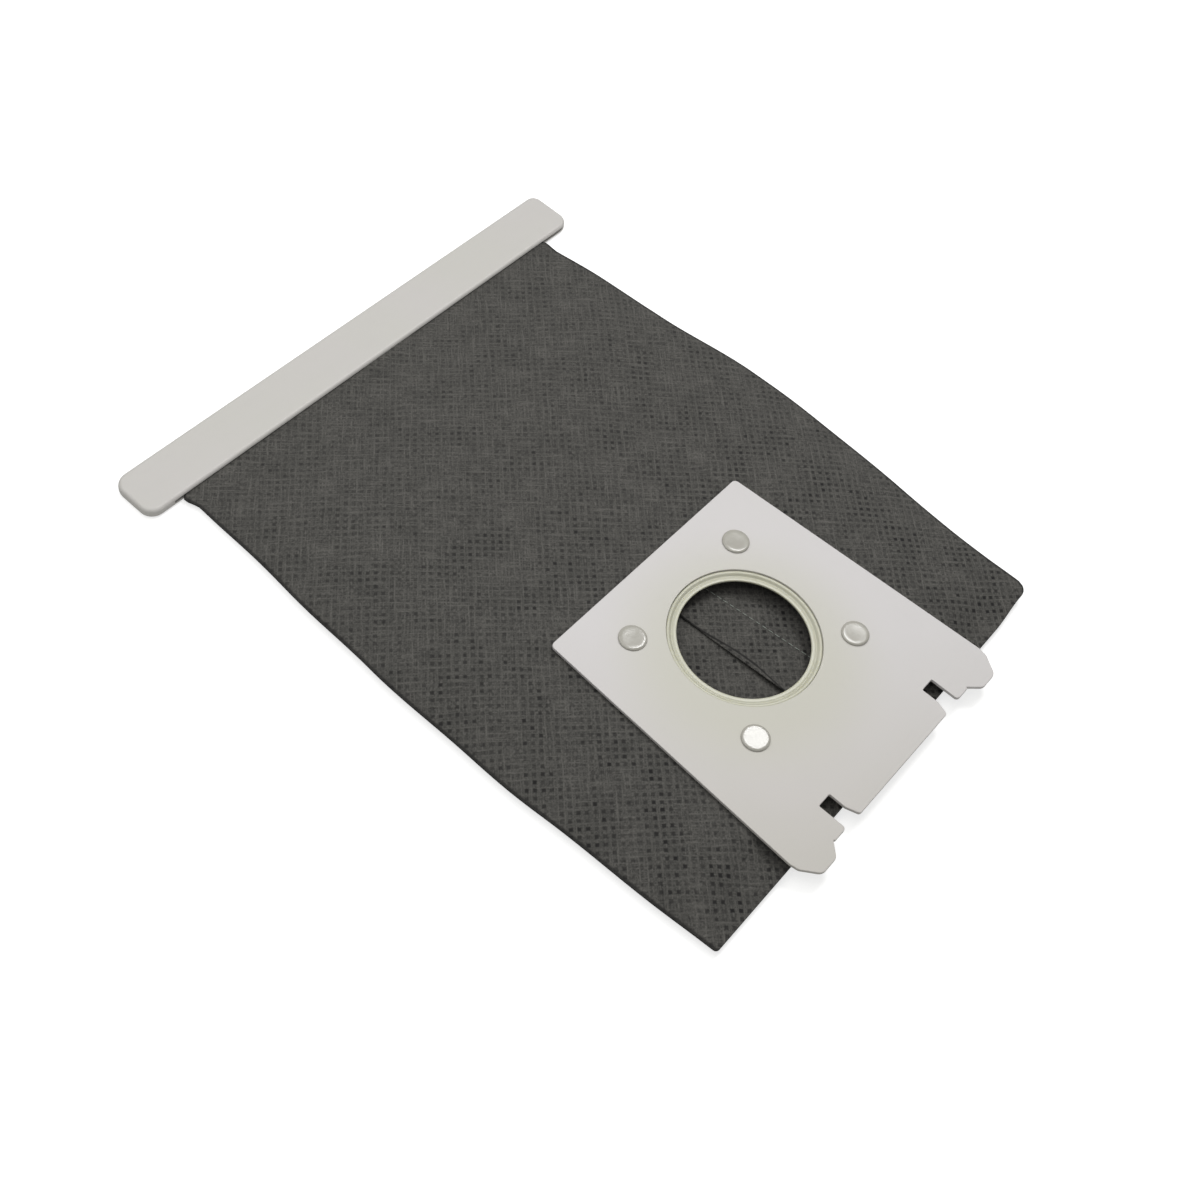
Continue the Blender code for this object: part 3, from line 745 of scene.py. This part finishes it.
def sheet_rows():
    """The sheet's rows, as (y, squash, hem): squash closes the rounded front end, and
    hem runs from 0 at the bead's start to the end of the turned-over hem."""
    rows = []
    for step in range(FRONT_ROUND_STEPS + 1):
        angle = math.pi / 2 * step / FRONT_ROUND_STEPS
        rows.append((-BAG_FRONT + CLOTH * (1 - math.cos(angle)), math.sin(angle), None))
    rows += [(-BAG_FRONT + away, 1.0, None) for away in FRONT_ROWS]
    start, count = rows[-1][0], round((NECK_START + BAG_FRONT) / SHEET_PITCH)
    rows += [
        (start + (NECK_START - start) * k / count, 1.0, None) for k in range(1, count + 1)
    ]
    mouth = BEAD_START - NECK_START
    rows += [
        (NECK_START + mouth * k / RAIL_MOUTH_STEPS, 1.0, None) for k in range(1, RAIL_MOUTH_STEPS)
    ]
    run = 2 * BEAD_LENGTH
    rows += [(BEAD_START, 1.0, run * k / HEM_STEPS) for k in range(HEM_STEPS + 1)]
    return rows


def hem_place(hem, out):
    """Place (y, z) of a point of the turned-over hem: hem is the length along its
    middle, and out the height over that middle."""
    flat = BEAD_LENGTH - HEM_TURN
    turn_start = BEAD_START + flat
    if hem < flat:
        sunk = CLIP_MIDDLE - HEM_TURN
        dip = eased(hem / HEM_DIP_LENGTH)
        return BEAD_START + hem, HEM_MIDDLE + (sunk - HEM_MIDDLE) * dip + out
    reach = HEM_TURN - out
    arc = (hem - flat) / (math.pi * HEM_TURN)
    if arc < 1.0:
        angle = math.pi * arc - math.pi / 2
        return turn_start + reach * math.cos(angle), CLIP_MIDDLE + reach * math.sin(angle)
    return turn_start - (hem - flat - math.pi * HEM_TURN), CLIP_MIDDLE + reach


def sheet_place(part, share, y, squash):
    """Place (x, z) of a point of the folded cloth in a cross section, its coordinate
    along the sheet and its distance from the nearest side fold."""
    middle = fold_height(y)
    right, left = side_edge(1, y), side_edge(-1, y)
    arc = CLOTH * math.pi
    if part in ("right_fold", "left_fold"):
        sign, edge = (1, right) if part == "right_fold" else (-1, left)
        angle = math.pi * share - math.pi / 2
        x = sign * (edge + CLOTH * math.cos(angle))
        z = middle + squash * sign * CLOTH * math.sin(angle)
        return x, z, 2 * BAG_WIDEST + arc - x, 0.0
    if part == "over":
        across = 1 - 2 * share
        x = across * (right if across > 0 else left)
        step = lap_step(x, y, 0.0) * ramp(x, lap_edge(y) - LAP_RISE, LAP_RISE)
        z = max(upper_ply(across, y), lower_ply(across, y) + 2 * CLOTH + step)
        along, away = 2 * BAG_WIDEST + arc - x, min(right - x, left + x)
    elif part == "under_right":
        free = lap_edge(y)
        x = free + (right - free) * share
        turned_up = LAP_CURL + LAP_CURL_GROWTH * eased((LAP_CURL_TOP - y) / LAP_CURL_SLOPE)
        curl = (1 - ramp(x, free, LAP_CURL_LENGTH)) * turned_up * (y < LAP_CURL_END)
        z = lower_ply(x / right, y) + lap_step(x, y, LAP_UNDER_SHARE) + curl
        along, away = x, right - x
    else:
        x = -left + (LAP_OUTER + left) * share
        z = lower_ply(x / left, y)
        along, away = 4 * BAG_WIDEST + 2 * arc + x, left + x
    return x, middle + squash * (z - middle), along, away


def lap_crease(part, x, y):
    """Distance from a crease beside the lap's free edge, along which a line of shade is painted;
    it meets that edge at both ends and is far from every other part of the sheet."""
    if part != "under_right":
        return 1.0
    apart = eased((LAP_CREASE_END - y) / LAP_CREASE_CLOSING)
    apart *= ramp(y, LAP_CREASE_START, LAP_CREASE_OPENING)
    return x - lap_edge(y) - LAP_CREASE_GAP * apart


def cut_hole(bm, centre, radius, margin):
    """Opens a round hole in the upper ply: the cloth's rows are drawn to its edge."""
    middle = Vector(centre)

    def reach(vert):
        return (vert.co.xy - middle).length

    near = radius + HOLE_SEARCH
    upper = [v for v in bm.verts if v.co.z > UPPER_PLY_ABOVE and reach(v) < near]
    gone = [v for v in upper if reach(v) < radius - HOLE_CLEARING + margin]
    rim = {e.other_vert(v) for v in gone for e in v.link_edges} - set(gone)
    bmesh.ops.delete(bm, geom=gone, context="VERTS")
    for vert in rim:
        vert.co.xy = middle + (vert.co.xy - middle).normalized() * radius


def make_bag():
    """One sheet of cloth, folded to a flat tube with a lapped seam down its back,
    closed at the front and turned over inside the rail."""
    columns, rows = sheet_columns(), sheet_rows()
    bm = bmesh.new()
    bmesh.ops.create_grid(
        bm, x_segments=len(columns) - 1, y_segments=len(rows) - 1, size=1.0
    )
    flat = bm.loops.layers.uv.new("sheet")
    fold = bm.verts.layers.float.new("side_fold")
    crease = bm.verts.layers.float.new("lap_crease")
    spots = {}
    for vert in bm.verts:
        part, share = columns[round((vert.co.x + 1) / 2 * (len(columns) - 1))]
        y, squash, hem = rows[round((vert.co.y + 1) / 2 * (len(rows) - 1))]
        x, z, along, vert[fold] = sheet_place(part, share, y, squash)
        vert[crease] = lap_crease(part, x, y)
        down = y
        if hem is None:
            z += corner_lift(x, y)
            y += front_skew(x, y)
        else:
            y, z = hem_place(hem, z - HEM_MIDDLE)
            down = BEAD_START + hem
        spots[vert] = (along, down)
        vert.co = (x, y + INLET_Y, z)
    for face in bm.faces:
        for loop in face.loops:
            loop[flat].uv = spots[loop.vert]
    cut_hole(bm, (0.0, INLET_Y), SEAL_RADIUS + GAP, SHEET_PITCH / 2)
    for centre in stud_centres():
        cut_hole(bm, centre, STUD_RADIUS + GAP, 0.0)
    cloth = spunbonded_cloth("spunbonded_polypropylene")
    bag = finish_piece("cloth_bag", bm, [cloth], "bag", "filter_bag", 180)
    wall = bag.modifiers.new("cloth_thickness", "SOLIDIFY")
    wall.thickness = CLOTH * WALL_SHARE
    wall.offset = -1.0
    wall.use_even_offset = False
    return bag


def block(name, low, high):
    """A plain box between two corners."""
    low, high = Vector(low), Vector(high)
    bm = bmesh.new()
    bmesh.ops.create_cube(bm, size=1.0)
    bmesh.ops.scale(bm, verts=bm.verts[:], vec=high - low)
    bmesh.ops.translate(bm, verts=bm.verts[:], vec=(high + low) / 2)
    return scene_object(name, bm)


def make_clip():
    """Rail that holds the folded hem: a rounded bar with a channel and a slot, open at
    one end and solid at the other."""
    half = CLIP_HIGH[0]
    near, far = CLIP_NEAR + INLET_Y, CLIP_FAR + INLET_Y
    corners = ((half, near), (half, far), (-half, far), (-half, near))
    bar = bmesh.new()
    rounded_outline(bar, [(x, y, r) for (x, y), r in zip(corners, RAIL_CORNERS)], 12)
    plate_from_outlines(bar, 0.0, CLIP_HEIGHT)
    round_edges(bar, RAIL_EDGE_ROUND, 8)
    rail = scene_object("rail_uncut", bar)
    # The cutters run a little past the faces that they open
    past = 0.001
    lip, start, end = near + RAIL_LIP, RAIL_CLOSED_END - half, half + past
    cutters = [
        block(
            "rail_channel",
            (start, lip, CLIP_MIDDLE - RAIL_CHANNEL / 2),
            (end, far - RAIL_BACK, CLIP_MIDDLE + RAIL_CHANNEL / 2),
        ),
        block(
            "rail_slot",
            (start, near - past, CLIP_MIDDLE - RAIL_SLOT / 2),
            (end, lip + past, CLIP_MIDDLE + RAIL_SLOT / 2),
        ),
    ]
    for cutter in cutters:
        step = rail.modifiers.new(cutter.name, "BOOLEAN")
        step.operation = "DIFFERENCE"
        step.solver = "EXACT"
        step.object = cutter
    bpy.context.view_layer.update()
    graph = bpy.context.evaluated_depsgraph_get()
    result = bmesh.new()
    result.from_mesh(rail.evaluated_get(graph).to_mesh())
    for item in (rail, *cutters):
        bpy.data.objects.remove(item, do_unlink=True)
    bmesh.ops.remove_doubles(result, verts=result.verts[:], dist=0.000005)
    satin = moulded_plastic("satin_extruded_plastic", "#CFCCC8", "#CECCC6", 0.45, 0.0005)
    clip = finish_piece("closing_rail", result, [satin], "clip", "closure_clip")
    flatten_shading(clip)


def make_seam_thread():
    """Lockstitches along the lap: a short bead of thread for each stitch."""
    bm = bmesh.new()
    turn = Matrix.Rotation(-SEAM_SLANT, 3, "Z")
    stretch = (1.0, STITCH_PITCH * STITCH_SHARE / (2 * THREAD_RADIUS), 1.0)
    for number in range(int((SEAM_END - SEAM_START) / STITCH_PITCH)):
        y = SEAM_START + STITCH_PITCH * number
        x = SEAM_X + SEAM_SLANT * min(y, SEAM_SLANT_END)
        z = lower_ply(x / half_width(y), y) + 2 * CLOTH + THREAD_RISE
        verts = bmesh.ops.create_uvsphere(
            bm, u_segments=8, v_segments=6, radius=THREAD_RADIUS
        )["verts"]
        bmesh.ops.scale(bm, verts=verts, vec=stretch)
        bmesh.ops.rotate(bm, verts=verts, cent=(0, 0, 0), matrix=turn)
        bmesh.ops.translate(bm, verts=verts, vec=(x, y + INLET_Y, z))
    thread = polyester_thread("pale_polyester_thread")
    return finish_piece("seam_thread", bm, [thread], "bag", None, 180)


def make_floor():
    """A matt table that looks plain white to the camera and keeps the part's shadow."""
    bm = bmesh.new()
    bmesh.ops.create_grid(bm, x_segments=1, y_segments=1, size=TABLE_SIZE)
    bmesh.ops.translate(bm, verts=bm.verts[:], vec=(0.0, 0.0, -TABLE_DROP))
    table = scene_object("table_top", bm)
    material, tree, shader = new_material(
        "matt_white_table",
        Base_Color=colour("#D0D0CE"),
        Roughness=0.9,
        Specular_IOR_Level=0.0,
        Emission_Color=(1.0, 1.0, 1.0, 1.0),
    )
    path = add_node(tree, "ShaderNodeLightPath").outputs
    glow = maths(tree, "MULTIPLY", path["Is Camera Ray"], TABLE_GLOW)
    tree.links.new(glow, shader.inputs["Emission Strength"])
    table.data.materials.append(material)


def make_world():
    """Even light from all round, plain white where the camera sees it."""
    world = bpy.data.worlds.new("white_room")
    world.use_nodes = True
    bpy.context.scene.world = world
    tree = world.node_tree
    path = add_node(tree, "ShaderNodeLightPath").outputs
    seen = maths(tree, "MAXIMUM", path["Is Camera Ray"], path["Is Transmission Ray"])
    background = tree.nodes["Background"]
    background.inputs["Color"].default_value = (1.0, 1.0, 1.0, 1.0)
    strength = ranged(tree, seen, 0.0, 1.0, ROOM_LIGHT, 1.0)
    tree.links.new(strength, background.inputs["Strength"])


def add_lamp(name, place, target, size, power):
    """A rectangular soft lamp that faces a point."""
    light = bpy.data.lights.new(name, "AREA")
    light.shape = "RECTANGLE"
    light.size, light.size_y = size
    light.energy = power
    lamp = bpy.data.objects.new(name, light)
    aim = Vector(target) - Vector(place)
    lamp.matrix_world = (
        Matrix.Translation(place) @ aim.to_track_quat("-Z", "Y").to_matrix().to_4x4()
    )
    bpy.context.scene.collection.objects.link(lamp)


def add_camera():
    data = bpy.data.cameras.new("camera")
    data.sensor_fit = "HORIZONTAL"
    data.sensor_width = 36.0
    data.lens = LENS
    data.clip_start = 0.01
    right, down = Vector(CAMERA_RIGHT).normalized(), Vector(CAMERA_DOWN)
    ahead = right.cross(down).normalized()
    down = ahead.cross(right)
    turn = Matrix((right, -down, -ahead)).transposed()
    x, y, z = CAMERA_PLACE
    camera = bpy.data.objects.new("camera", data)
    camera.matrix_world = Matrix.Translation((x, y + INLET_Y, z)) @ turn.to_4x4()
    bpy.context.scene.collection.objects.link(camera)
    bpy.context.scene.camera = camera


def main():
    for name in ("Cube", "Camera", "Light"):
        if name in bpy.data.objects:
            bpy.data.objects.remove(bpy.data.objects[name], do_unlink=True)
    bpy.context.scene.view_settings.view_transform = "Standard"
    add_camera()
    make_collar()
    make_seal()
    make_backing()
    bag = make_bag()
    thread = make_seam_thread()
    make_clip()
    round_width = 4 * (BAG_END_HALF_WIDTH + MEAN_BOW_SHARE * BAG_SIDE_BOW)
    round_width += 2 * (RIGHT_SPREAD + MEAN_BULGE_SHARE * RIGHT_BULGE)
    make_floor()
    make_world()
    for name, (place, target, size, power) in LAMPS.items():
        add_lamp(name, place, target, size, power)


main()
